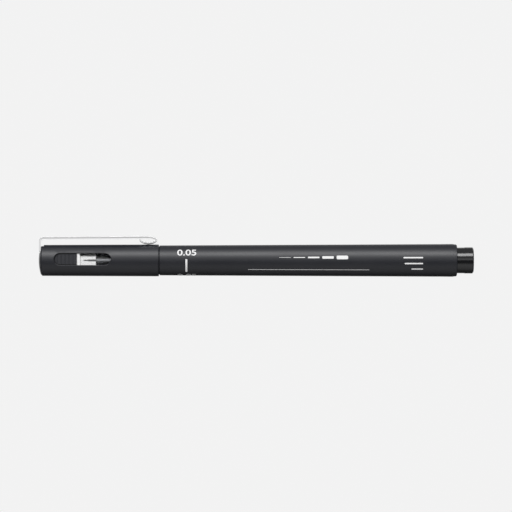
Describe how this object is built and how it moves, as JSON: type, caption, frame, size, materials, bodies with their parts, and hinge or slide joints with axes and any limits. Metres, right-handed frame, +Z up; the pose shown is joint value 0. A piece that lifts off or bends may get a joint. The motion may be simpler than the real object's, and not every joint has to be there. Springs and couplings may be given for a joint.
{
  "type": "fineliner pen",
  "caption": "Capped fineliner pen with a tapered black barrel, a metal-sleeved fine nib, a pull-off cap with a clear nib window and ribbed thumb pads, and a sprung pocket clip.",
  "frame": {"origin": "on the surface the pen lies on, under the middle of its length and its axis", "axes": "+X along the pen from the cap's crown to the tail, +Z up through the pocket clip, +Y across, through the cap's windows"},
  "size_m": [0.14, 0.0106, 0.0129],
  "materials": {
    "matte_black": "matte black moulded plastic with a fine even grain",
    "gloss_black": "polished black moulded plastic",
    "clear_plastic": "clear moulded plastic",
    "bright_metal": "bright plated sheet steel",
    "nib_metal": "drawn stainless steel",
    "point_plastic": "ink-dark plastic point",
    "wick_fibre": "ink-soaked bonded fibre rod",
    "ink_fibre": "ink-soaked fibre",
    "wrap_film": "thin wrapped film"
  },
  "bodies": {
    "pen": {"barrel": "matte_black", "tail_plug": "gloss_black", "nib_holder": "matte_black", "nib_sleeve": "nib_metal", "nib_pipe": "nib_metal", "nib_point": "point_plastic", "feed_wick": "wick_fibre", "ink_reservoir": "ink_fibre", "reservoir_film": "wrap_film"},
    "cap": {"cap_shell": "matte_black", "inner_cap": "clear_plastic", "cap_crown": "matte_black"},
    "clip": {"pocket_clip": "bright_metal"}
  },
  "joints": [
    {"name": "cap_pull", "type": "slide", "parent": "pen", "child": "cap", "axis": [-1, 0, 0], "range_m": [0, 0.04]},
    {"name": "clip_flex", "type": "hinge", "parent": "cap", "child": "clip", "pos_m": [-0.06912, 0, 0.0083], "axis": [0, -1, 0], "range_deg": [0, 5], "stiffness_Nm_per_rad": 0.8, "springref_deg": -1.15}
  ]
}
